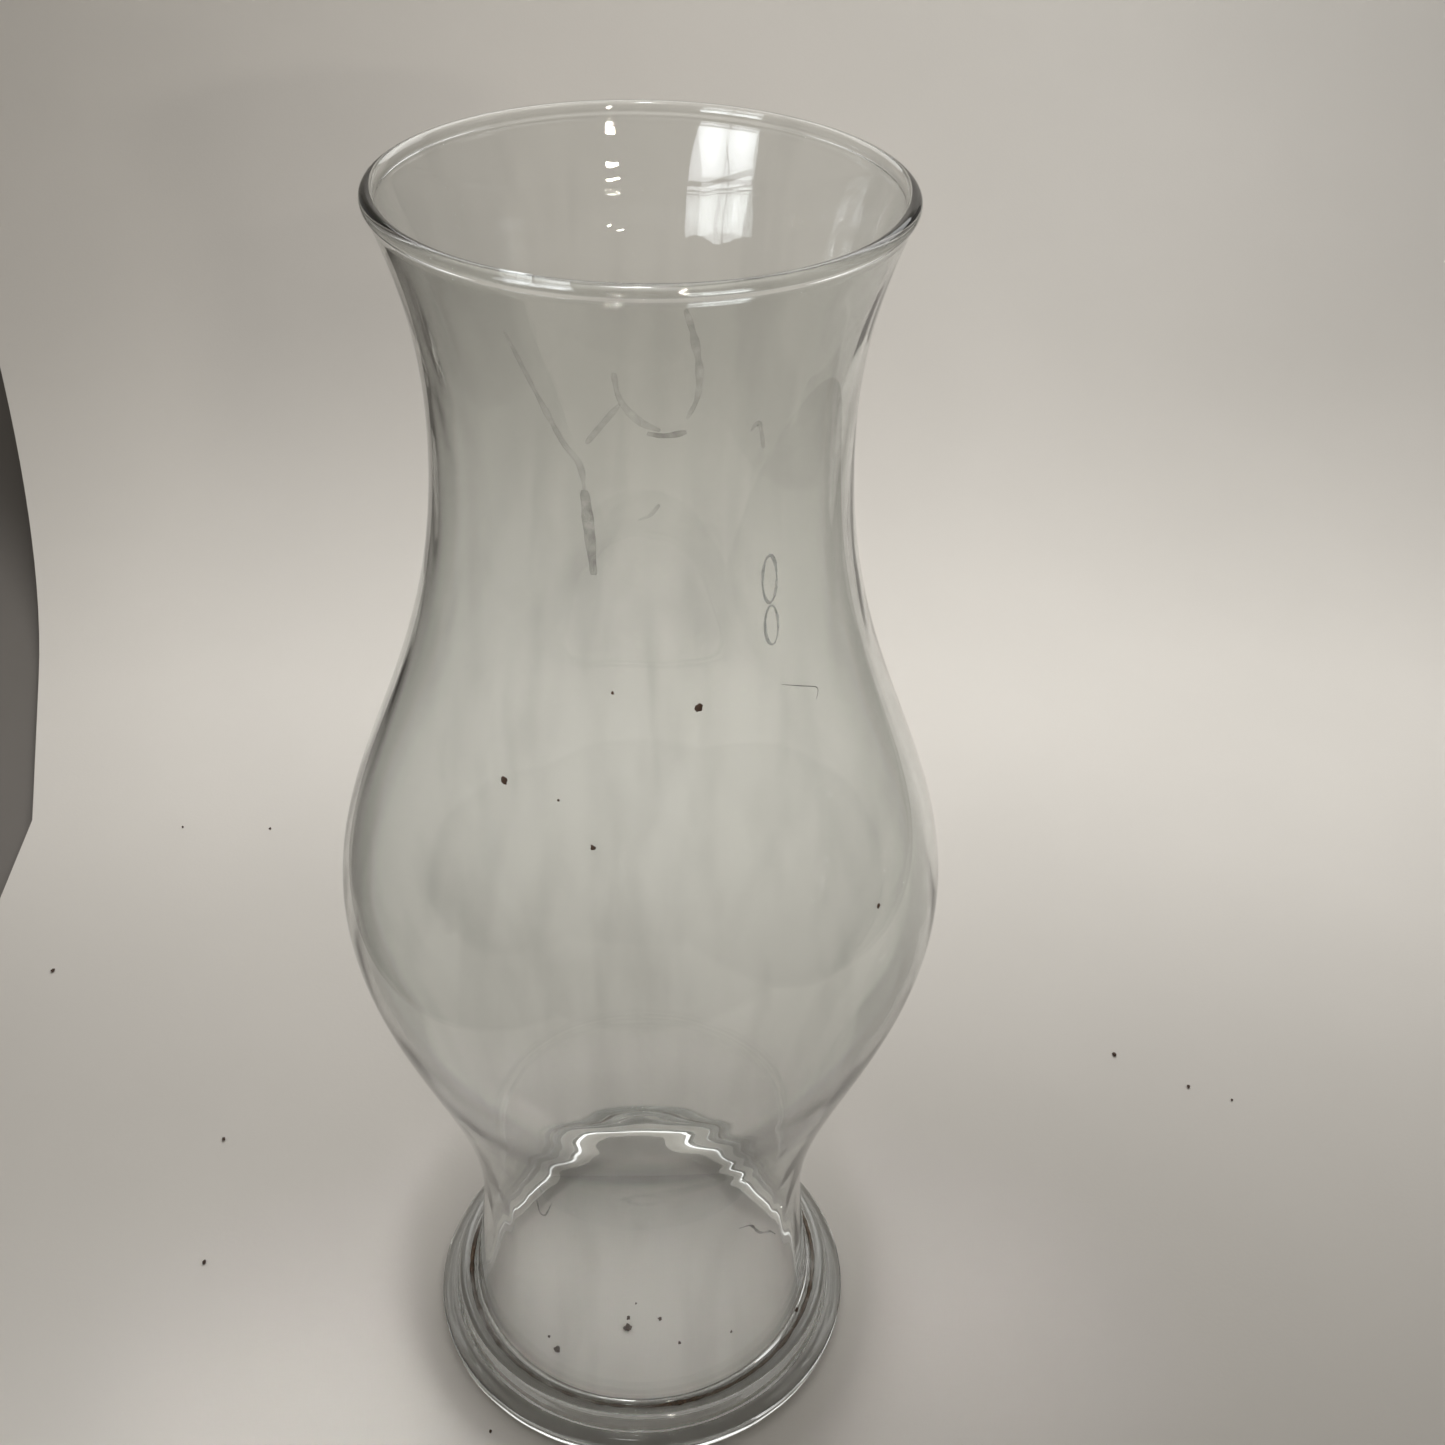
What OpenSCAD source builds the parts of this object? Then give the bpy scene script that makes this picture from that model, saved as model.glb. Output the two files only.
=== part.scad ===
// Hurricane-shaped clear glass vase, open at both ends: a flared mouth with a rounded
// lip, a narrow neck, a full belly, a waist, and a stepped foot ring.
// Millimetres, +Z up, origin on the table at the centre of the foot.

/* [Heights] */
// Overall height, table to the top of the lip
vase_h = 300; // [285:5:340]
// Height of the waist, the narrowest place below the belly
waist_z = 47; // [38:1:60]
// Height of the belly's widest place
belly_z = 146.5; // [125:0.5:170]
// Height of the neck's narrowest place
neck_z = 256; // [235:1:265]

/* [Outside radii] */
// Wall where it stands on the foot
base_r = 44.2; // [43:0.1:44.6]
// Waist
waist_r = 40.4; // [36:0.2:43]
// Belly
belly_r = 65.3; // [55:0.5:72]
// Neck
neck_r = 39.8; // [34:0.2:43]
// Mouth, over the lip
mouth_r = 48.1; // [46:0.1:54]

/* [Outline fullness] */
// Lean of the wall where it leaves the foot, inwards per unit of height
base_lean = 0.15; // [0:0.01:0.3]
// How far the outline holds upright at the waist, as a share of each stretch
waist_hold = 0.39; // [0.25:0.01:0.5]
// The same at the belly
belly_hold = 0.293; // [0.2:0.001:0.45]
// The same at the neck
neck_hold = 0.49; // [0.3:0.01:0.6]
// Lean of the wall where it meets the lip, outwards per unit of height
mouth_lean = 0.35; // [0.2:0.01:0.6]

/* [Glass thickness] */
// Wall at the foot
base_wall = 2.2; // [1.8:0.1:2.6]
// Wall at the lip
mouth_wall = 1.5; // [1.2:0.1:1.8]
// Diameter of the rounded lip
lip_d = 2.8; // [2.4:0.1:3.2]

/* [Foot] */
// Outer radius of the foot's lower bead
foot_r = 53.5; // [52.5:0.1:56]
// Radius of the lower bead's section
bead_r = 2.7; // [2.2:0.1:3]
// Radius of the ring along which the upper bead runs
step_r = 47.4; // [46.6:0.1:47.8]
// Radius of the upper bead's section
step_bead_r = 1.3; // [1:0.1:1.4]
// Height of the shoulder that the wall stands on
shoulder_z = 9.6; // [9:0.1:12]
// Radius that rounds the inner edge of the foot at the table
bore_edge_r = 1; // [0.5:0.1:1.5]

/* [Hidden] */
$fn = 128;
GLASS = [0.80, 0.87, 0.86, 0.45];
THICK_GLASS = [0.66, 0.76, 0.75, 0.6];
CURVE_STEPS = 12;
ARC_STEPS = 14;

// The lip is a round section cut flat where the wall meets it.
LIP_CUT_SHARE = 0.65;
lip_r = lip_d / 2;
lip_ring_r = mouth_r - lip_r;
lip_ring_z = vase_h - lip_r;
wall_top_z = lip_ring_z - LIP_CUT_SHARE * lip_r;
wall_top_r = lip_ring_r + level_width(mouth_wall, mouth_lean) / 2;

// The bore of the foot has the radius of the wall's inner lower edge.
bore_r = base_r - level_width(base_wall, base_lean);

// The outline is four curves, each [start, start handle, end handle, end] as
// [radius, height], and upright at the waist, the belly and the neck.
base_stretch = waist_z - shoulder_z;
lower_stretch = belly_z - waist_z;
upper_stretch = neck_z - belly_z;
mouth_stretch = wall_top_z - neck_z;
BASE_HANDLE = 0.16;
WAIST_UNDER_HANDLE = 0.31;
MOUTH_HANDLE = 0.22;
outline = [
    [
        [base_r, shoulder_z],
        [base_r, shoulder_z] + BASE_HANDLE * base_stretch * [-base_lean, 1],
        [waist_r, waist_z - WAIST_UNDER_HANDLE * base_stretch],
        [waist_r, waist_z]
    ],
    [
        [waist_r, waist_z],
        [waist_r, waist_z + waist_hold * lower_stretch],
        [belly_r, belly_z - belly_hold * lower_stretch],
        [belly_r, belly_z]
    ],
    [
        [belly_r, belly_z],
        [belly_r, belly_z + belly_hold * upper_stretch],
        [neck_r, neck_z - neck_hold * upper_stretch],
        [neck_r, neck_z]
    ],
    [
        [neck_r, neck_z],
        [neck_r, neck_z + neck_hold * mouth_stretch],
        [wall_top_r, wall_top_z] - MOUTH_HANDLE * mouth_stretch * [mouth_lean, 1],
        [wall_top_r, wall_top_z]
    ]
];

// Width of a leaning wall measured level, from its true thickness.
function level_width(thickness, lean) = thickness * sqrt(1 + lean * lean);

// Point and direction on a curve at t, from 0 to 1.
function curve_point(c, t) =
    pow(1 - t, 3) * c[0] + 3 * pow(1 - t, 2) * t * c[1]
    + 3 * (1 - t) * t * t * c[2] + pow(t, 3) * c[3];
function curve_direction(c, t) =
    pow(1 - t, 2) * (c[1] - c[0]) + 2 * (1 - t) * t * (c[2] - c[1])
    + t * t * (c[3] - c[2]);

// Glass thickness at height z: it thins steadily from the foot to the mouth.
function wall_at(z) =
    base_wall + (mouth_wall - base_wall) * (z - shoulder_z) / (wall_top_z - shoulder_z);

// Inner wall point level with the outer one.
function inner_point(c, t) =
    let (p = curve_point(c, t), d = curve_direction(c, t))
    [p[0] - level_width(wall_at(p[1]), d[0] / d[1]), p[1]];

// Points of an arc in the section plane.
function arc(centre, radius, from, to) =
    [for (i = [0 : ARC_STEPS])
        let (a = from + (to - from) * i / ARC_STEPS)
        centre + radius * [cos(a), sin(a)]];

// One stretch of the blown wall: outer points going up, inner points coming down.
module wall_stretch(c) {
    outside = [for (i = [0 : CURVE_STEPS]) curve_point(c, i / CURVE_STEPS)];
    inside = [for (i = [0 : CURVE_STEPS]) inner_point(c, 1 - i / CURVE_STEPS)];
    color(GLASS)
        rotate_extrude()
            polygon(concat(outside, inside));
}

// The wall is one blown skin, held here as the four stretches between its turning places.
module stem() { wall_stretch(outline[0]); }
module lower_belly() { wall_stretch(outline[1]); }
module upper_belly() { wall_stretch(outline[2]); }
module neck() { wall_stretch(outline[3]); }

// Fire-polished lip: a round bead with a flat seat on the top of the wall.
module lip() {
    seat_angle = asin(LIP_CUT_SHARE);
    color(GLASS)
        rotate_extrude()
            polygon(arc([lip_ring_r, lip_ring_z], lip_r, -seat_angle, 180 + seat_angle));
}

// Stepped foot ring: a shoulder for the wall, an upper bead and a lower bead.
module foot() {
    step_centre = [step_r, shoulder_z];
    bead_centre = [foot_r - bead_r, bead_r];
    bore_edge_centre = [bore_r + bore_edge_r, bore_edge_r];
    CREASE_ANGLE = 112;
    color(THICK_GLASS)
        rotate_extrude()
            polygon(concat(
                arc(bore_edge_centre, bore_edge_r, -90, -180),
                [[bore_r, shoulder_z]],
                arc(step_centre, step_bead_r, 180, 0),
                arc(bead_centre, bead_r, CREASE_ANGLE, -90)
            ));
}

stem();
lower_belly();
upper_belly();
neck();
lip();
foot();
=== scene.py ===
"""Clear glass hurricane vase on a pale paper sweep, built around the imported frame.

Metres, +Z up, origin on the table at the centre of the foot.
"""

import bisect
import math

import bmesh
import bpy
from mathutils import Matrix, Vector, noise


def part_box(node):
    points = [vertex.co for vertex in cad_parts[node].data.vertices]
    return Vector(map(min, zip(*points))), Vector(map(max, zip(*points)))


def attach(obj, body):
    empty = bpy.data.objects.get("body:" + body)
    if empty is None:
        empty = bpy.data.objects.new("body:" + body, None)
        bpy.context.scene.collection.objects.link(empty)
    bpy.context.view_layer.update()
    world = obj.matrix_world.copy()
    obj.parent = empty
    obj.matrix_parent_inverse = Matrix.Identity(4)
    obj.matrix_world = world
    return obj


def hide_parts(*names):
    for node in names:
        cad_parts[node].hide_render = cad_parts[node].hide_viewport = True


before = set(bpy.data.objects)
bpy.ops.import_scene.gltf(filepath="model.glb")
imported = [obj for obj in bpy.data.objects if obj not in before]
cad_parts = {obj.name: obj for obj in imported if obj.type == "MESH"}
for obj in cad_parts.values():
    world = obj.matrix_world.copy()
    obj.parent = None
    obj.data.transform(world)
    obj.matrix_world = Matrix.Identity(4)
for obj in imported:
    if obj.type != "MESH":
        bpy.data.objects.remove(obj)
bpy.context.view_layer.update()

MM = 0.001

# Driving dimensions, taken from the frame.
WALL_NODES = ("stem", "lower_belly", "upper_belly", "neck")
_, FOOT_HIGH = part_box("foot")
_, LIP_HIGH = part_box("lip")
FOOT_R = FOOT_HIGH.x
MOUTH_R = LIP_HIGH.x
VASE_H = LIP_HIGH.z

# Lathe resolution.
SEGMENTS = 192
WALL_STEP = 1.4 * MM
# Change of lean below which a level lies on a straight run of the outline.
FLAT = 0.003

# Foot section: a lower bead with a fine ridge on it, an upper bead, and the groove inside that.
BEAD_R = 2.7 * MM
RIDGE_R = 0.6 * MM
STEP_BEAD_R = 1.3 * MM
STEP_R = 47.4 * MM
STEP_Z = 9.7 * MM
STEP_NECK = ((STEP_R + 2.2 * MM, 2 * BEAD_R + 0.3 * MM), (STEP_R + 1.45 * MM, STEP_Z - 1.2 * MM))
GROOVE_R = 45.4 * MM
GROOVE_Z = 10.2 * MM
GROOVE_FILLET_R = 0.9 * MM
BORE_EDGE_R = 1.0 * MM
BORE_SHARES = (0.85, 0.7, 0.55, 0.4)

# The lip, and where the smooth wall begins and ends between the foot and the lip.
LIP_R = 1.4 * MM
WALL_START = STEP_Z + 1.6 * MM
LIP_SETBACK = 0.6 * MM

# Unevenness of the blown glass.
INNER_WAVE = 0.14 * MM
OUTER_WAVE = 0.025 * MM
FOOT_WAVE = 0.10 * MM
# Ripples on the inside of the wall: (share of INNER_WAVE, waves a turn, pitch, seed).
LONG_RIPPLE = (1.0, 24, 0.03, 3.1)
SHORT_RIPPLE = (0.5, 60, 0.05, 7.7)
MOUTH_RIPPLE = (0.8, 60, 0.014, 1.9)
BELLY_RIPPLE = (0.35, 14, 0.009, 4.3)
# Ripples outside: (waves a turn, pitch, seed).
OUTER_RIPPLE = (16, 0.06, 11.3)
FOOT_RIPPLE = (46, 0.002, 5.9)
# Heights between which a ripple comes in or dies out, and how strong it is low down and high up.
WALL_FADES_IN = (13 * MM, 25 * MM)
WALL_FADES_OUT = (VASE_H - 12 * MM, VASE_H - 4 * MM)
STRONGER_OVER = (0.19, 0.27)
STRENGTH_LOW = 0.45
STRENGTH_GAIN = 0.8
MOUTH_FADES_IN = (0.25, 0.27)
BELLY_FADES_IN = (0.09, 0.105)
BELLY_FADES_OUT = (0.13, 0.14)
FOOT_FADES_IN = (0.0, 2 * MM)
FOOT_FADES_OUT = (10 * MM, 13 * MM)


# ---------------------------------------------------------------- small helpers


def link(obj):
    """Put an object into the scene."""
    bpy.context.scene.collection.objects.link(obj)
    return obj


def mesh_object(name, bm):
    """Turn the mesh in hand into a smoothly shaded object in the scene."""
    mesh = bpy.data.meshes.new(name)
    bm.to_mesh(mesh)
    bm.free()
    mesh.shade_smooth()
    return link(bpy.data.objects.new(name, mesh))


def smoothstep(low, high, x):
    t = min(1.0, max(0.0, (x - low) / (high - low)))
    return t * t * (3 - 2 * t)


def arc(centre, radius, start, end, steps):
    """Points of an arc in the section plane, angles in degrees."""
    points = []
    for i in range(steps + 1):
        a = math.radians(start + (end - start) * i / steps)
        points.append((centre[0] + radius * math.cos(a), centre[1] + radius * math.sin(a)))
    return points


def spline_bends(xs, ys):
    """Second derivatives of the natural cubic spline through the points."""
    count = len(xs)
    bends = [0.0] * count
    sweep = [0.0] * count
    for i in range(1, count - 1):
        share = (xs[i] - xs[i - 1]) / (xs[i + 1] - xs[i - 1])
        pivot = share * bends[i - 1] + 2
        bends[i] = (share - 1) / pivot
        turn = (ys[i + 1] - ys[i]) / (xs[i + 1] - xs[i]) - (ys[i] - ys[i - 1]) / (xs[i] - xs[i - 1])
        sweep[i] = (6 * turn / (xs[i + 1] - xs[i - 1]) - share * sweep[i - 1]) / pivot
    for i in range(count - 2, -1, -1):
        bends[i] = bends[i] * bends[i + 1] + sweep[i]
    return bends


def spline_value(xs, ys, bends, x):
    """Value of that spline at x."""
    i = min(max(bisect.bisect(xs, x) - 1, 0), len(xs) - 2)
    step = xs[i + 1] - xs[i]
    b = (x - xs[i]) / step
    a = 1 - b
    cubic = (a**3 - a) * bends[i] + (b**3 - b) * bends[i + 1]
    return a * ys[i] + b * ys[i + 1] + cubic * step * step / 6


# ---------------------------------------------------------------- the wall, read from the frame


def lean(low, high):
    """Outward lean of the wall between two levels, per unit of height."""
    return (high[1] - low[1]) / (high[0] - low[0])


def wall_levels():
    """(height, outer radius, inner radius) where the wall's CAD outline bends, going up."""
    levels = {}
    for name in WALL_NODES:
        rings = {}
        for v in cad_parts[name].data.vertices:
            rings.setdefault(round(v.co.z, 4), []).append((math.hypot(v.co.x, v.co.y), v.co.z))
        for key, points in rings.items():
            radii = [r for r, z in points]
            if max(radii) - min(radii) > 1 * MM:
                levels[key] = (points[0][1], max(radii), min(radii))
    ordered = [levels[key] for key in sorted(levels)]
    corners = [
        b for a, b, c in zip(ordered, ordered[1:], ordered[2:]) if abs(lean(b, c) - lean(a, b)) > FLAT
    ]
    return [ordered[0]] + corners + [ordered[-1]]


LEVEL_Z, OUTER_R, INNER_R = (list(column) for column in zip(*wall_levels()))
BORE_R = INNER_R[0]
OUTER_BENDS = spline_bends(LEVEL_Z, OUTER_R)
INNER_BENDS = spline_bends(LEVEL_Z, INNER_R)


def outer_radius(z):
    return spline_value(LEVEL_Z, OUTER_R, OUTER_BENDS, z)


def inner_radius(z):
    return spline_value(LEVEL_Z, INNER_R, INNER_BENDS, z)


def wall_curve(radius_at, start, end):
    """Outline of one face of the wall: evenly spaced (radius, height) points."""
    steps = round(abs(end - start) / WALL_STEP)
    heights = [start + (end - start) * k / steps for k in range(steps + 1)]
    return [(radius_at(z), z) for z in heights]


def wall_point(azimuth, z, clearance=0.0):
    """Point on the outside of the wall. Azimuth 0 faces -Y, and 90 faces +X, in degrees."""
    a = math.radians(azimuth)
    r = outer_radius(z) + clearance
    return Vector((r * math.sin(a), -r * math.cos(a), z))


# ---------------------------------------------------------------- the glass


def foot_outside():
    """Foot from its resting face up to the groove where the wall begins."""
    bead_centre = (FOOT_R - BEAD_R, BEAD_R)
    ridge_centre = (FOOT_R - BEAD_R - 0.5 * MM, 2 * BEAD_R - 0.1 * MM)
    step_centre = (STEP_R, STEP_Z - 0.1 * MM)
    fillet_centre = (OUTER_R[0] + 1.0 * MM, STEP_Z + 1.2 * MM)
    points = arc(bead_centre, BEAD_R, -90, 78, 18)
    points += arc(ridge_centre, RIDGE_R, 25, 165, 6)
    points += STEP_NECK
    points += arc(step_centre, STEP_BEAD_R, -5, 165, 12)
    points += arc(fillet_centre, GROOVE_FILLET_R, 300, 190, 6)
    return points


def lip_bead():
    """Rounded lip over the top of the wall, from its outside to its inside."""
    return arc((MOUTH_R - LIP_R, VASE_H - LIP_R), LIP_R, -38, 218, 22)


def foot_inside():
    """Bore of the foot from the wall's inner face down to the rounded edge at the table."""
    heights = [LEVEL_Z[0] * share for share in BORE_SHARES]
    edge = arc((BORE_R + BORE_EDGE_R, BORE_EDGE_R), BORE_EDGE_R, 180, 270, 6)
    return [(BORE_R, z) for z in heights] + edge


def glass_section():
    """Closed section: up the outside, over the lip and down the inside to the table."""
    wall_top = LEVEL_Z[-1] - LIP_SETBACK
    outside = foot_outside() + wall_curve(outer_radius, WALL_START, wall_top)
    inside = wall_curve(inner_radius, wall_top, LEVEL_Z[0]) + foot_inside()
    return outside + lip_bead() + inside


def ripple(angle, z, turns, pitch, seed):
    """Smooth noise that closes round the vase: about `turns` waves a turn, `pitch` metres tall."""
    radius = turns / (2 * math.pi)
    return noise.noise(
        Vector((radius * math.cos(angle) + seed, radius * math.sin(angle), z / pitch))
    )


def inner_ripple(angle, z, share, turns, pitch, seed):
    return INNER_WAVE * share * ripple(angle, z, turns, pitch, seed)


def uneven_radius(r, z, angle, inside):
    """Radius with the slight unevenness of blown and pressed glass."""
    on_wall = smoothstep(*WALL_FADES_IN, z) * (1 - smoothstep(*WALL_FADES_OUT, z))
    if inside:
        swell = on_wall * (STRENGTH_LOW + STRENGTH_GAIN * smoothstep(*STRONGER_OVER, z))
        at_mouth = on_wall * smoothstep(*MOUTH_FADES_IN, z)
        under_belly = smoothstep(*BELLY_FADES_IN, z) * (1 - smoothstep(*BELLY_FADES_OUT, z))
        r += swell * inner_ripple(angle, z, *LONG_RIPPLE)
        r += swell * inner_ripple(angle, z, *SHORT_RIPPLE)
        r += at_mouth * inner_ripple(angle, z, *MOUTH_RIPPLE)
        r += under_belly * inner_ripple(angle, z, *BELLY_RIPPLE)
    else:
        on_foot = smoothstep(*FOOT_FADES_IN, z) * (1 - smoothstep(*FOOT_FADES_OUT, z))
        r += OUTER_WAVE * on_wall * ripple(angle, z, *OUTER_RIPPLE)
        r += FOOT_WAVE * on_foot * ripple(angle, z, *FOOT_RIPPLE)
    return r


def lathe(name, section, inside_from):
    """Surface swept round the axis by a closed section, whose inner face starts at inside_from."""
    bm = bmesh.new()
    rings = []
    for k, (r, z) in enumerate(section):
        ring = []
        for s in range(SEGMENTS):
            angle = 2 * math.pi * s / SEGMENTS
            radius = uneven_radius(r, z, angle, k >= inside_from)
            ring.append(bm.verts.new((radius * math.cos(angle), radius * math.sin(angle), z)))
        rings.append(ring)
    for low, high in zip(rings, rings[1:] + rings[:1]):
        for s in range(SEGMENTS):
            n = (s + 1) % SEGMENTS
            bm.faces.new((low[s], low[n], high[n], high[s]))
    bmesh.ops.recalc_face_normals(bm, faces=bm.faces)
    return mesh_object(name, bm)


def build_glass():
    section = glass_section()
    top = max(range(len(section)), key=lambda k: section[k][1])
    glass = lathe("vase_glass", section, top)
    glass.data.materials.append(glass_material())
    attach(glass, "root")
    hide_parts(*WALL_NODES, "lip", "foot")
    return glass


# ---------------------------------------------------------------- dried water, dirt and a hair

# Room left between the glass and what lies on it, and how thick a dried mark is.
MARK_GAP = 0.06 * MM
MARK_THICK = 0.05 * MM
PALE_LOOP_LINE = 0.7 * MM
PALE_LOOP_POINTS = 20
RESIDUE_WIDTH = 1.3 * MM
RESIDUE_THICK = 0.3 * MM
# Strips vary in width by noise, and narrow to a share of it at their ends.
STRIP_MEAN = 0.8
STRIP_WANDER = 0.5
STRIP_NOISE_SCALE = 400
STRIP_END = 0.25
# Specks are flattened lumps: how lumpy, at what scale, and their share along each axis.
SPECK_LUMPS = 0.7
SPECK_LUMP_SCALE = 2.5
SPECK_NOISE_SCALE = 300
SPECK_SHAPE = (0.75, 1.0, 0.4)

# Marks on the outside of the wall: (width in mm, points as (azimuth in degrees, height in mm)).
FAINT_RUNS = (
    (1.4, ((-29, 289), (-25, 280), (-19, 270), (-15, 266), (-14, 261))),
    (1.3, ((-5, 278), (-9, 274), (-13, 270))),
    (1.6, ((-6, 284), (-5, 279), (-1, 275), (4, 273))),
    (1.5, ((10, 275), (12, 279), (12, 284), (10, 291), (8, 296))),
    (0.8, ((-1, 256), (2, 257), (4, 259))),
    (1.3, ((26, 271), (28, 272), (30, 267))),
)
DARK_RUNS = (
    (2.4, ((-14, 261), (-13, 253), (-12, 245))),
    (1.5, ((1, 272.5), (5, 272), (10, 272.5))),
    (0.6, ((-31, 82), (-32, 75), (-30, 75), (-26, 83))),
    (0.7, ((32, 66), (37, 64), (41, 59), (44, 56), (49, 53), (53, 49))),
)
HAIR = (0.2, ((35, 220), (41, 218), (46, 216), (45, 214)))
# Pale oval loops on the outside of the wall: (azimuth, height, half their width in degrees, half their
# height in mm).
PALE_LOOPS = ((33.4, 241, 2.2, 4.6), (33.5, 232, 2.0, 3.8))
# Specks of dirt on the wall: (size in mm, azimuth, height in mm).
WALL_SPECKS = (
    (1.9, 13, 220),
    (1.6, -31, 203),
    (1.2, -10, 194.5),
    (1.2, 49, 170),
    (0.7, -7, 223),
    (0.6, -18, 202),
    (1.8, 64, 12),
)


# Deposits: (material, colour, opacity where thin, opacity where thick).
DRIED_WATER = ("dried_water", (0.16, 0.155, 0.14), 0.04, 0.16)
WATER_STAIN = ("water_stain", (0.12, 0.112, 0.10), 0.08, 0.30)
HAIR_FIBRE = ("hair_fibre", (0.06, 0.045, 0.035), 0.5, 0.9)
PALE_LOOP_LOOK = ("pale_loop_shader", (0.62, 0.64, 0.63), 0.25, 0.7)
DIRT = ("dirt", (0.075, 0.04, 0.025), 0.8, 1.0)
RESIDUE = ("residue", (0.14, 0.085, 0.05), 0.05, 0.7)
CRUMB = ("crumb", (0.06, 0.035, 0.025), 0.8, 1.0)
PALE_LOOP_CLEARNESS = 0.85
RESIDUE_PATCH_SCALE = 60.0


def smooth_path(points, steps=6):
    """Catmull-Rom curve through the points."""
    padded = [points[0], *points, points[-1]]
    path = []
    for before, start, end, after in zip(padded, padded[1:], padded[2:], padded[3:]):
        for k in range(steps):
            t = k / steps
            path.append(tuple(
                b + 0.5 * t * (c - a + t * (2 * a - 5 * b + 4 * c - d + t * (3 * (b - c) + d - a)))
                for a, b, c, d in zip(before, start, end, after)
            ))
    return path + [points[-1]]


def wall_path(points):
    """Places just clear of the outside of the wall, with the way out of the glass at each."""
    path = []
    for azimuth, height in points:
        place = wall_point(azimuth, height * MM, MARK_GAP)
        path.append((place, Vector((place.x, place.y, 0)).normalized()))
    return path


def add_strip(bm, path, width, thickness, closed=False):
    """Thin closed strip of lens-shaped section along a path of (place, outward) pairs."""
    count = len(path)
    sections = []
    for k, (place, outward) in enumerate(path):
        ahead = path[(k + 1) % count][0] if closed or k < count - 1 else place
        behind = path[k - 1][0] if closed or k > 0 else place
        across = outward.cross(ahead - behind).normalized()
        swell = STRIP_MEAN + STRIP_WANDER * noise.noise(place * STRIP_NOISE_SCALE)
        if not closed:
            along = (k + 0.4) / (count - 0.2)
            swell *= STRIP_END + (1 - STRIP_END) * math.sqrt(math.sin(math.pi * along))
        half = 0.5 * width * swell
        corners = (place + across * half, place + outward * thickness, place - across * half, place)
        sections.append([bm.verts.new(corner) for corner in corners])
    pairs = list(zip(sections, sections[1:]))
    if closed:
        pairs.append((sections[-1], sections[0]))
    else:
        bm.faces.new(sections[0])
        bm.faces.new(reversed(sections[-1]))
    for low, high in pairs:
        for c in range(4):
            n = (c + 1) % 4
            bm.faces.new((low[c], low[n], high[n], high[c]))


def add_speck(bm, place, outward, size):
    """Irregular crumb pressed against a surface."""
    turn = outward.to_track_quat("Z", "Y").to_matrix().to_4x4()
    lump = bmesh.ops.create_icosphere(bm, subdivisions=2, radius=0.5, matrix=Matrix.Identity(4))
    for v in lump["verts"]:
        v.co *= 1 + SPECK_LUMPS * noise.noise(v.co * SPECK_LUMP_SCALE + place * SPECK_NOISE_SCALE)
        v.co = v.co * Vector(SPECK_SHAPE)
    low = min(v.co.z for v in lump["verts"])
    for v in lump["verts"]:
        v.co = place + turn @ (size * (v.co - Vector((0, 0, low))))


def finish_piece(name, bm, material):
    """Turn the mesh in hand into a piece that rides with the vase."""
    bmesh.ops.recalc_face_normals(bm, faces=bm.faces)
    piece = mesh_object(name, bm)
    piece.data.materials.append(material)
    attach(piece, "root")
    return piece


def build_runs(name, runs, material):
    bm = bmesh.new()
    for width, points in runs:
        add_strip(bm, wall_path(smooth_path(points)), width * MM, MARK_THICK)
    finish_piece(name, bm, material)


def build_pale_loops():
    """Pale oval outlines on the outside of the wall."""
    pale_loop_material = mark_material(*PALE_LOOP_LOOK, lets_light_through=PALE_LOOP_CLEARNESS)
    bm = bmesh.new()
    for azimuth, height, half_width, half_height in PALE_LOOPS:
        angles = [2 * math.pi * k / PALE_LOOP_POINTS for k in range(PALE_LOOP_POINTS)]
        loop = [(azimuth + half_width * math.sin(a), height + half_height * math.cos(a)) for a in angles]
        add_strip(bm, wall_path(loop), PALE_LOOP_LINE, MARK_THICK, closed=True)
    finish_piece("pale_loops_on_wall", bm, pale_loop_material)


def build_specks():
    bm = bmesh.new()
    for size, azimuth, height in WALL_SPECKS:
        (place, outward), = wall_path([(azimuth, height)])
        add_speck(bm, place, outward, size * MM)
    finish_piece("dirt_specks", bm, mark_material(*DIRT))


def build_residue():
    """Brown residue dried in the groove round the foot."""
    bm = bmesh.new()
    up = Vector((0, 0, 1))
    path = []
    for k in range(SEGMENTS):
        a = 2 * math.pi * k / SEGMENTS
        path.append((Vector((GROOVE_R * math.cos(a), GROOVE_R * math.sin(a), GROOVE_Z)), up))
    add_strip(bm, path, RESIDUE_WIDTH, RESIDUE_THICK, closed=True)
    finish_piece("residue_ring", bm, mark_material(*RESIDUE, scale=RESIDUE_PATCH_SCALE))


def build_marks():
    build_runs("water_runs", FAINT_RUNS, mark_material(*DRIED_WATER))
    build_runs("water_stains", DARK_RUNS, mark_material(*WATER_STAIN))
    build_runs("hair", (HAIR,), mark_material(*HAIR_FIBRE))
    build_pale_loops()
    build_specks()
    build_residue()


# ---------------------------------------------------------------- materials

# Colour sockets of the Mix node.
MIX_A, MIX_B, MIX_RESULT = 6, 7, 2

GLASS_IOR = 1.5
THICK_GLASS_COLOUR = (0.74, 0.82, 0.77, 1)
THICK_GLASS_DENSITY = 9.0

# Light let through by the film, by height above the table in metres.
FILM_BY_HEIGHT = (
    (0.03, (0.99, 0.995, 0.99)),
    (0.13, (0.96, 0.975, 0.965)),
    (0.20, (0.93, 0.945, 0.93)),
    (0.27, (0.88, 0.89, 0.875)),
)
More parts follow.
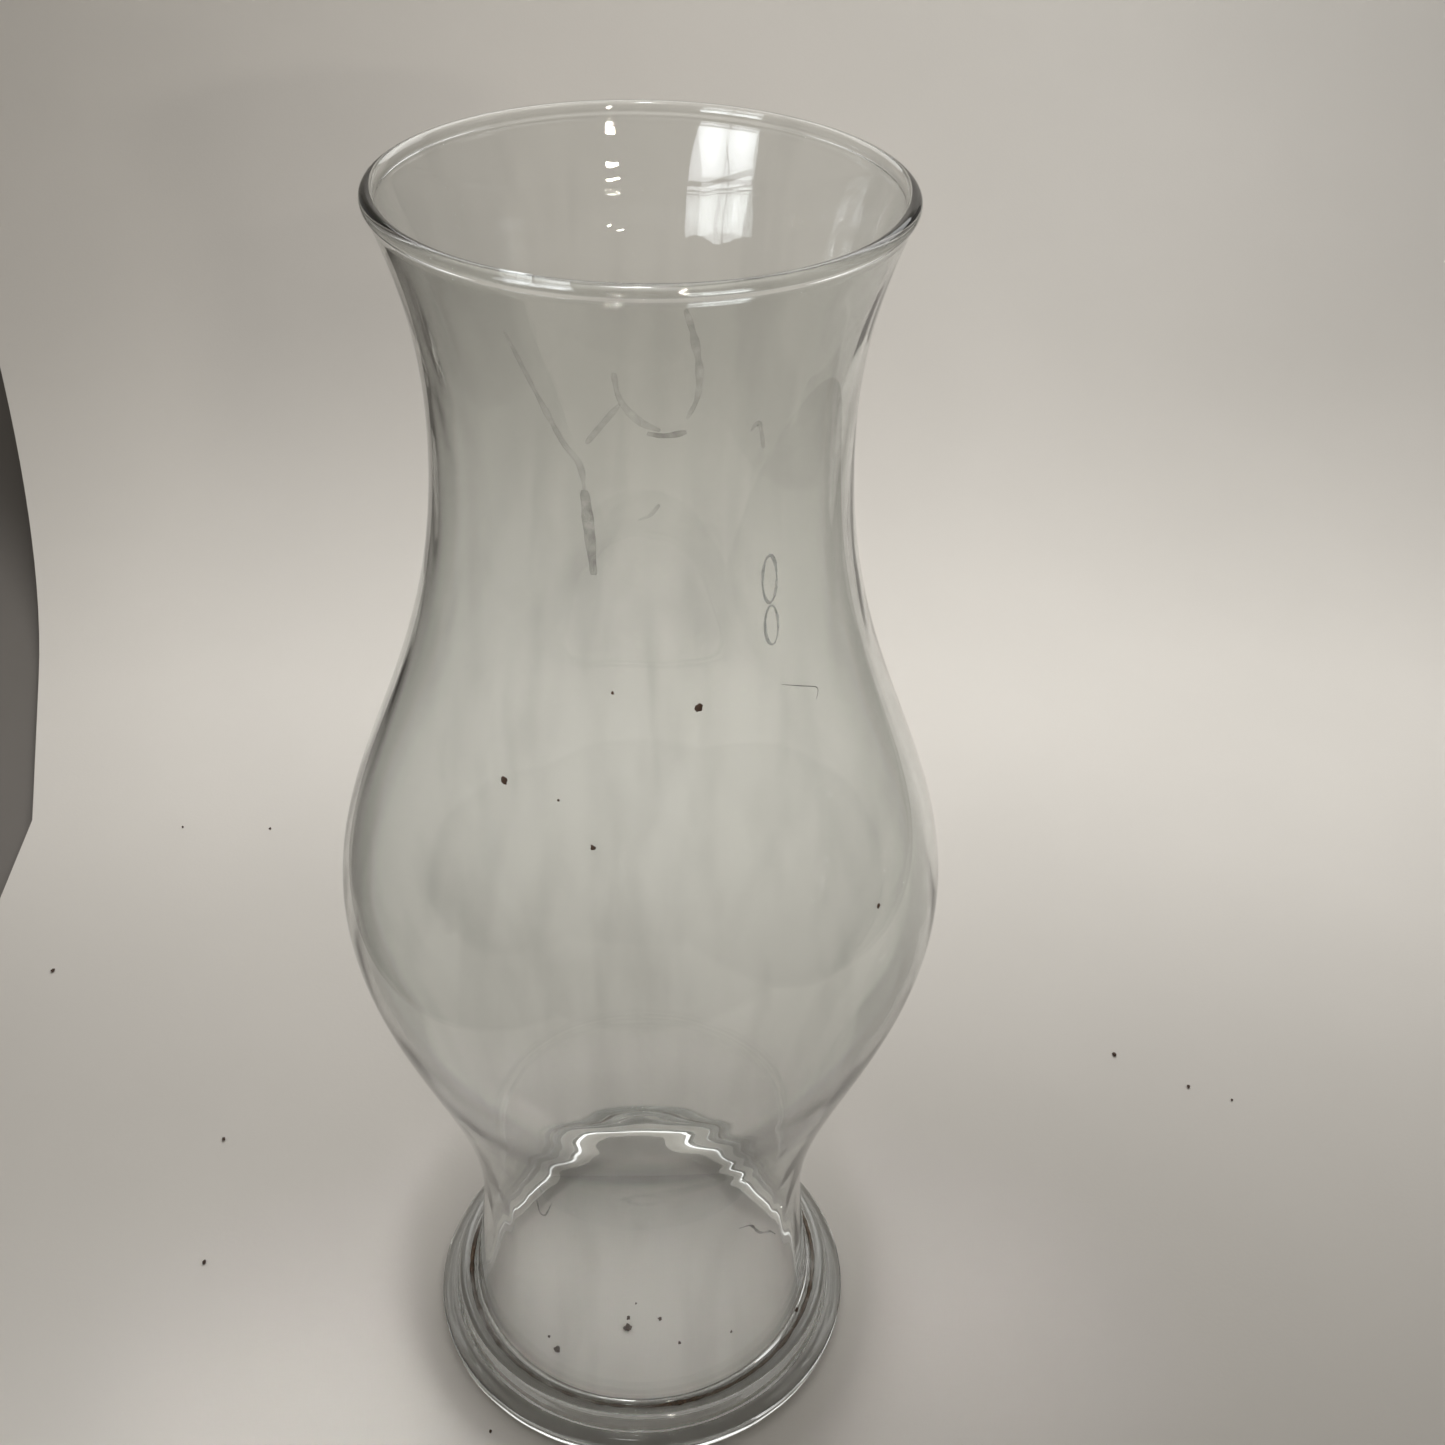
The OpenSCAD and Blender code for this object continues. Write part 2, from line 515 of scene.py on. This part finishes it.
# The same by how the glass is seen, from 0 face on to 1 edge on: on the rest of the glass, and in a band
# under the belly, where a steep step paints a dark band of shade over the film. The band's steep step
# was fitted to the photograph's view, so the dark edge of the band moves over the glass in other views.
CLEAN_BY_FACING = ((0.0, 1.0), (0.55, 0.96), (0.8, 0.84), (1.0, 0.42))
BAND_PAINTED_SHADE_BY_FACING = ((0.0, 1.0), (0.55, 0.97), (0.63, 0.90), (0.67, 0.46), (0.74, 0.40), (1.0, 0.26))
# Heights of the painted dark band of shade under the belly.
PAINTED_SHADE_HEIGHTS = ((0.100, 0.0), (0.106, 1.0), (0.118, 0.9), (0.135, 0.5), (0.155, 0.15))
# The foot was rinsed clean up to this height.
BARE_FOOT = ((0.012, 1.0), (0.022, 0.0))


# Vertical streaks in the film, and patches of handling haze.
STREAK_STRETCH = (95, 95, 9)
STREAK_SHADES = ((0.36, 0.93), (0.5, 0.99), (0.62, 1.0))
HAZE_SCALE = 28.0
HAZE_STRETCH = (1, 1, 0.6)
HAZE_ROUGHNESS = ((0.45, 0.0), (0.75, 0.045))

# Shades of the paper and the table, by noise value.
PAPER_SHADES = ((0.3, (0.70, 0.672, 0.625)), (0.7, (0.73, 0.70, 0.652)))
TABLE_SHADES = ((0.3, (0.16, 0.148, 0.133)), (0.7, (0.19, 0.175, 0.16)))


def new_material(name):
    material = bpy.data.materials.new(name)
    material.use_nodes = True
    nodes = material.node_tree.nodes
    return material, nodes, material.node_tree.links, nodes["Principled BSDF"]


def object_noise(nodes, links, scale, detail=4.0, stretch=(1, 1, 1)):
    """Noise texture in the object's own metres."""
    coords = nodes.new("ShaderNodeTexCoord")
    mapping = nodes.new("ShaderNodeMapping")
    mapping.inputs["Scale"].default_value = stretch
    links.new(coords.outputs["Object"], mapping.inputs["Vector"])
    texture = nodes.new("ShaderNodeTexNoise")
    texture.inputs["Scale"].default_value = scale
    texture.inputs["Detail"].default_value = detail
    links.new(mapping.outputs["Vector"], texture.inputs["Vector"])
    return texture.outputs["Fac"]


def ramp(nodes, links, value, stops):
    """Colour ramp over a value; stops are (position, grey level or colour)."""
    node = nodes.new("ShaderNodeValToRGB")
    elements = node.color_ramp.elements
    while len(elements) < len(stops):
        elements.new(0.5)
    for element, (position, shade) in zip(elements, stops):
        element.position = position
        element.color = (shade,) * 3 + (1,) if isinstance(shade, float) else (*shade, 1)
    links.new(value, node.inputs["Fac"])
    return node.outputs["Color"]


def mix_colours(nodes, links, first, second, share=None, mode="MIX"):
    """Two colours combined in a Mix node's mode; share is how much of the second counts."""
    mix = nodes.new("ShaderNodeMix")
    mix.data_type = "RGBA"
    mix.blend_type = mode
    if share is None:
        mix.inputs["Factor"].default_value = 1.0
    else:
        links.new(share, mix.inputs["Factor"])
    links.new(first, mix.inputs[MIX_A])
    links.new(second, mix.inputs[MIX_B])
    return mix.outputs[MIX_RESULT]


def dried_film_and_painted_shade(nodes, links):
    """Share of light let through: less higher up, in streaks, and where it is seen edge on, with a
    painted dark band of shade under the belly.
    """
    coords = nodes.new("ShaderNodeTexCoord")
    height = nodes.new("ShaderNodeSeparateXYZ")
    links.new(coords.outputs["Object"], height.inputs["Vector"])
    facing = nodes.new("ShaderNodeLayerWeight")
    facing.inputs["Blend"].default_value = 0.5
    clean = ramp(nodes, links, facing.outputs["Facing"], CLEAN_BY_FACING)
    # Painted shade: a steep step darkens the glass under the belly where it is seen near edge on.
    band_with_painted_shade = ramp(nodes, links, facing.outputs["Facing"], BAND_PAINTED_SHADE_BY_FACING)
    painted_shade_band_mask = ramp(nodes, links, height.outputs["Z"], PAINTED_SHADE_HEIGHTS)
    edge_on = mix_colours(nodes, links, clean, band_with_painted_shade, painted_shade_band_mask)
    bare_foot = ramp(nodes, links, height.outputs["Z"], BARE_FOOT)
    edge_on = mix_colours(nodes, links, edge_on, bare_foot, mode="LIGHTEN")
    higher = ramp(nodes, links, height.outputs["Z"], FILM_BY_HEIGHT)
    streaks = object_noise(nodes, links, 1.0, 5.0, STREAK_STRETCH)
    streaky = ramp(nodes, links, streaks, STREAK_SHADES)
    film_and_painted_shade = mix_colours(nodes, links, edge_on, higher, mode="MULTIPLY")
    return mix_colours(nodes, links, film_and_painted_shade, streaky, mode="MULTIPLY")


def glass_material():
    """Clear soda glass, grey-green where thick, under a film of dried water and handling haze, with a
    painted dark band of shade under the belly.
    """
    material, nodes, links, shader = new_material("clear_glass")
    links.new(dried_film_and_painted_shade(nodes, links), shader.inputs["Base Color"])
    shader.inputs["Transmission Weight"].default_value = 1.0
    shader.inputs["IOR"].default_value = GLASS_IOR
    haze = object_noise(nodes, links, HAZE_SCALE, 5.0, HAZE_STRETCH)
    links.new(ramp(nodes, links, haze, HAZE_ROUGHNESS), shader.inputs["Roughness"])
    absorb = nodes.new("ShaderNodeVolumeAbsorption")
    absorb.inputs["Color"].default_value = THICK_GLASS_COLOUR
    absorb.inputs["Density"].default_value = THICK_GLASS_DENSITY
    links.new(absorb.outputs["Volume"], nodes["Material Output"].inputs["Volume"])
    return material


def mark_material(name, colour, thin, thick, scale=260.0, lets_light_through=0.0):
    """Dried deposit: patchy cover between two opacities, with a slightly varied colour."""
    material, nodes, links, shader = new_material(name)
    patches = object_noise(nodes, links, scale, 4.0)
    links.new(ramp(nodes, links, patches, ((0.35, thin), (0.65, thick))), shader.inputs["Alpha"])
    lighter = tuple(1.5 * c for c in colour)
    tone = object_noise(nodes, links, 700.0, 3.0)
    links.new(ramp(nodes, links, tone, ((0.3, colour), (0.7, lighter))), shader.inputs["Base Color"])
    shader.inputs["Roughness"].default_value = 0.85
    shader.inputs["Transmission Weight"].default_value = lets_light_through
    return material


def paper_material():
    """Matt pale studio paper with very fine mottling."""
    material, nodes, links, shader = new_material("pale_paper")
    mottle = object_noise(nodes, links, 9.0, 3.0)
    links.new(ramp(nodes, links, mottle, PAPER_SHADES), shader.inputs["Base Color"])
    shader.inputs["Roughness"].default_value = 0.9
    shader.inputs["Specular IOR Level"].default_value = 0.2
    bump = nodes.new("ShaderNodeBump")
    bump.inputs["Strength"].default_value = 0.15
    bump.inputs["Distance"].default_value = 0.0002
    links.new(object_noise(nodes, links, 900.0, 2.0), bump.inputs["Height"])
    links.new(bump.outputs["Normal"], shader.inputs["Normal"])
    return material


def table_material():
    """Plain matt table under the paper."""
    material, nodes, links, shader = new_material("plain_table")
    grain = object_noise(nodes, links, 5.0, 3.0)
    links.new(ramp(nodes, links, grain, TABLE_SHADES), shader.inputs["Base Color"])
    shader.inputs["Roughness"].default_value = 0.8
    return material


# ---------------------------------------------------------------- stage, lights and camera

# Left edge of the paper: straight beside the vase, then leaning out further back and higher up.
SWEEP_LEFT = -0.216
SWEEP_LEAN_FROM_Y = 0.19
SWEEP_LEAN = 0.25
SWEEP_RISE_LEAN = 0.2
SWEEP_RIGHT = 0.40
SWEEP_FRONT = -0.44
SWEEP_BEND_Y = 0.29
SWEEP_BEND_R = 0.30
SWEEP_TOP = 0.95
SWEEP_COLUMNS = 12
FLAT_ROWS = 8
BEND_ROWS = 32
BACK_ROWS = 4
TABLE_HALF = 1.6
TABLE_DROP = 3 * MM
PAPER_GAP = 0.15 * MM


def build_sweep():
    """Paper that lies flat, then bends up into a wall behind the vase."""
    flat = SWEEP_BEND_Y - SWEEP_FRONT
    rise = SWEEP_TOP - SWEEP_BEND_R
    back_y = SWEEP_BEND_Y + SWEEP_BEND_R
    profile = [(SWEEP_FRONT + flat * k / FLAT_ROWS, 0.0) for k in range(FLAT_ROWS)]
    profile += arc((SWEEP_BEND_Y, SWEEP_BEND_R), SWEEP_BEND_R, -90, 0, BEND_ROWS)
    profile += [(back_y, SWEEP_BEND_R + rise * k / BACK_ROWS) for k in range(1, BACK_ROWS + 1)]
    bm = bmesh.new()
    rows = []
    for y, z in profile:
        row = []
        left = SWEEP_LEFT - SWEEP_LEAN * max(0.0, y - SWEEP_LEAN_FROM_Y) - SWEEP_RISE_LEAN * z
        for c in range(SWEEP_COLUMNS + 1):
            x = left + (SWEEP_RIGHT - left) * c / SWEEP_COLUMNS
            row.append(bm.verts.new((x, y, z - PAPER_GAP)))
        rows.append(row)
    for low, high in zip(rows, rows[1:]):
        for c in range(SWEEP_COLUMNS):
            bm.faces.new((low[c], low[c + 1], high[c + 1], high[c]))
    sweep = mesh_object("sweep", bm)
    sweep.data.materials.append(paper_material())


# Crumbs on the paper, inside the foot and outside it: (size, x, y) in mm.
PAPER_CRUMBS = (
    (2.6, -4, -15),
    (1.2, -4, -11.5),
    (2.0, -22, -21),
    (0.8, -2, -6.5),
    (0.9, -24, -17),
    (1.1, 4.5, -12),
    (0.9, 23, -16.5),
    (1.0, 9.5, -19.5),
    (1.5, -190, 121),
    (1.4, -122, 50),
    (1.6, 147, 80),
    (1.3, 167, 66.5),
    (1.4, -119, 7),
    (1.1, -133, 193),
    (1.0, -164, 194),
    (0.9, 179, 61),
    (0.9, -38, -45),
)


def build_crumbs():
    bm = bmesh.new()
    for size, x, y in PAPER_CRUMBS:
        add_speck(bm, Vector((x * MM, y * MM, 0)), Vector((0, 0, 1)), size * MM)
    mesh = bpy.data.meshes.new("paper_crumbs")
    bm.to_mesh(mesh)
    bm.free()
    mesh.materials.append(mark_material(*CRUMB))
    link(bpy.data.objects.new("paper_crumbs", mesh))


def build_table():
    half = TABLE_HALF
    mesh = bpy.data.meshes.new("table")
    corners = [(-half, -half), (half, -half), (half, half), (-half, half)]
    mesh.from_pydata([(x, y, -TABLE_DROP) for x, y in corners], [], [(0, 1, 2, 3)])
    table = link(bpy.data.objects.new("table", mesh))
    table.data.materials.append(table_material())


def area_light(name, location, target, size, power, spread, colour=(1, 1, 1)):
    """Rectangular light; spread is the full angle of its beam in degrees."""
    data = bpy.data.lights.new(name, "AREA")
    data.spread = math.radians(spread)
    data.shape = "RECTANGLE"
    data.size, data.size_y = size
    data.energy = power
    data.color = colour
    light = link(bpy.data.objects.new(name, data))
    light.location = location
    light.rotation_euler = (Vector(target) - Vector(location)).to_track_quat("-Z", "Y").to_euler()
    light.visible_camera = False
    return light


# Light of the room: (name, place, target, size, watts, spread in degrees). The four at the foot
# only lift the paper there to the brightness in the photograph.
ROOM_LIGHTS = (
    ("over_bend", (0.12, 0.40, 0.55), (0.12, 0.40, 0), (0.6, 0.3), 1.12, 180),
    ("over_right", (0.25, 0.20, 0.62), (0.25, 0.20, 0), (0.45, 0.2), 0.145, 60),
    ("over_left", (-0.15, 0.25, 0.62), (-0.15, 0.25, 0), (0.3, 0.15), 0.072, 50),
    ("bend_strip", (0.1, 0.28, 0.50), (0.1, 0.28, 0), (0.7, 0.06), 0.087, 50),
    ("right_wall", (0.6, 0.0, 0.7), (0.3, 0.59, 0.3), (0.3, 0.3), 0.255, 120),
    ("front_left", (-0.67, -0.485, 1.09), (-0.25, -0.10, 0), (0.9, 0.9), 0.03, 90),
    ("beside_foot", (-0.13, -0.10, 1.0), (-0.13, -0.10, 0), (0.2, 0.2), 0.06, 20),
    ("over_foot", (0.0, 0.0, 1.1), (0.0, 0.0, 0), (0.06, 0.06), 0.008, 8),
    ("left_of_foot", (-0.075, -0.045, 1.0), (-0.075, -0.045, 0), (0.05, 0.05), 0.0075, 8),
    ("right_of_foot", (0.08, -0.02, 1.0), (0.08, -0.02, 0), (0.05, 0.05), 0.003, 8),
    ("ceiling_right", (0.30, 0, 1.5), (0.30, 0, 0), (0.33, 0.10), 0.07, 180),
    ("ceiling_left", (-0.27, 0, 1.5), (-0.27, 0, 0), (0.33, 0.10), 0.07, 180),
)
ROOM_GLOW = (0.235, 0.223, 0.207, 1)


def build_lights():
    world = bpy.data.worlds.new("studio")
    world.use_nodes = True
    background = world.node_tree.nodes["Background"]
    background.inputs["Color"].default_value = ROOM_GLOW
    bpy.context.scene.world = world
    for name, place, target, size, power, spread in ROOM_LIGHTS:
        area_light(name, place, target, size, power, spread)
    build_window()
    build_lamps()


def way_towards(azimuth, elevation):
    """Unit vector; azimuth 0 points along +Y and 90 along +X, in degrees."""
    a = math.radians(azimuth)
    e = math.radians(elevation)
    return Vector((math.sin(a) * math.cos(e), math.cos(a) * math.cos(e), math.sin(e)))


# Bars of warm light behind the camera: (elevation from the mouth in degrees, height of the bar).
LAMP_BARS = ((26.5, 3 * MM), (23, 6 * MM), (16, 14 * MM), (12.5, 4 * MM), (0.5, 3 * MM))
LAMP_WIDTH = 50 * MM
LAMP_AWAY = 0.8
LAMP_AZIMUTH = 165
LAMP_WATTS_PER_AREA = 45.0
LAMP_SPREAD = 40
LAMP_COLOUR = (1.0, 0.95, 0.86)

# Window panes, one for each azimuth and elevation seen from the mouth, in degrees.
WINDOW_AWAY = 0.55
WINDOW_AZIMUTHS = (-133, -147)
WINDOW_ELEVATIONS = (4.5, 19.0)
WINDOW_PANE = (0.125, 0.128)
WINDOW_POWER = 0.0165
WINDOW_SPREAD = 34
WINDOW_COLOUR = (0.93, 0.97, 1.0)


def build_lamps():
    """Small warm lamps behind the camera, seen as bars in the far wall of the mouth."""
    mouth = Vector((0, 0.03, VASE_H - 20 * MM))
    for k, (elevation, height) in enumerate(LAMP_BARS):
        place = mouth + LAMP_AWAY * way_towards(LAMP_AZIMUTH, elevation)
        power = LAMP_WATTS_PER_AREA * LAMP_WIDTH * height
        area_light("lamp_%d" % k, place, mouth, (LAMP_WIDTH, height), power, LAMP_SPREAD, LAMP_COLOUR)


def build_window():
    """Panes of a window behind the camera on the left, seen in the far wall of the mouth."""
    mouth = Vector((0.01, 0.04, VASE_H - 15 * MM))
    for column, azimuth in enumerate(WINDOW_AZIMUTHS):
        for row, elevation in enumerate(WINDOW_ELEVATIONS):
            place = mouth + WINDOW_AWAY * way_towards(azimuth, elevation)
            name = "window_%d_%d" % (column, row)
            area_light(name, place, mouth, WINDOW_PANE, WINDOW_POWER, WINDOW_SPREAD, WINDOW_COLOUR)


# Camera: sensor and lens in mm, place in metres, angles in degrees.
SENSOR_WIDTH = 36.0
LENS = 43.6
CAMERA_PLACE = (0, -0.29795, 0.39983)
CAMERA_PITCH = 35.68
CAMERA_YAW = 3.216
CAMERA_ROLL = 1.845


def build_camera():
    """Seen from a little above the mouth, turned and rolled slightly."""
    data = bpy.data.cameras.new("camera")
    data.sensor_width = SENSOR_WIDTH
    data.lens = LENS
    camera = link(bpy.data.objects.new("camera", data))
    pitch = math.radians(CAMERA_PITCH)
    yaw = math.radians(CAMERA_YAW)
    roll = math.radians(CAMERA_ROLL)
    ahead = math.cos(pitch)
    forward = Vector((math.sin(yaw) * ahead, math.cos(yaw) * ahead, -math.sin(pitch)))
    level = Vector((math.cos(yaw), -math.sin(yaw), 0))
    above = level.cross(forward)
    right = math.cos(roll) * level + math.sin(roll) * above
    up = -math.sin(roll) * level + math.cos(roll) * above
    axes = Matrix((right, up, -forward)).transposed()
    camera.matrix_world = Matrix.Translation(CAMERA_PLACE) @ axes.to_4x4()
    bpy.context.scene.camera = camera


def set_picture():
    """Plain colours, and enough bounces for light to cross every layer of glass."""
    scene = bpy.context.scene
    scene.view_settings.view_transform = "Standard"
    scene.cycles.max_bounces = 24
    scene.cycles.transmission_bounces = 24
    scene.cycles.glossy_bounces = 12
    scene.cycles.sample_clamp_indirect = 0


build_glass()
build_marks()
build_sweep()
build_crumbs()
build_table()
build_lights()
build_camera()
set_picture()
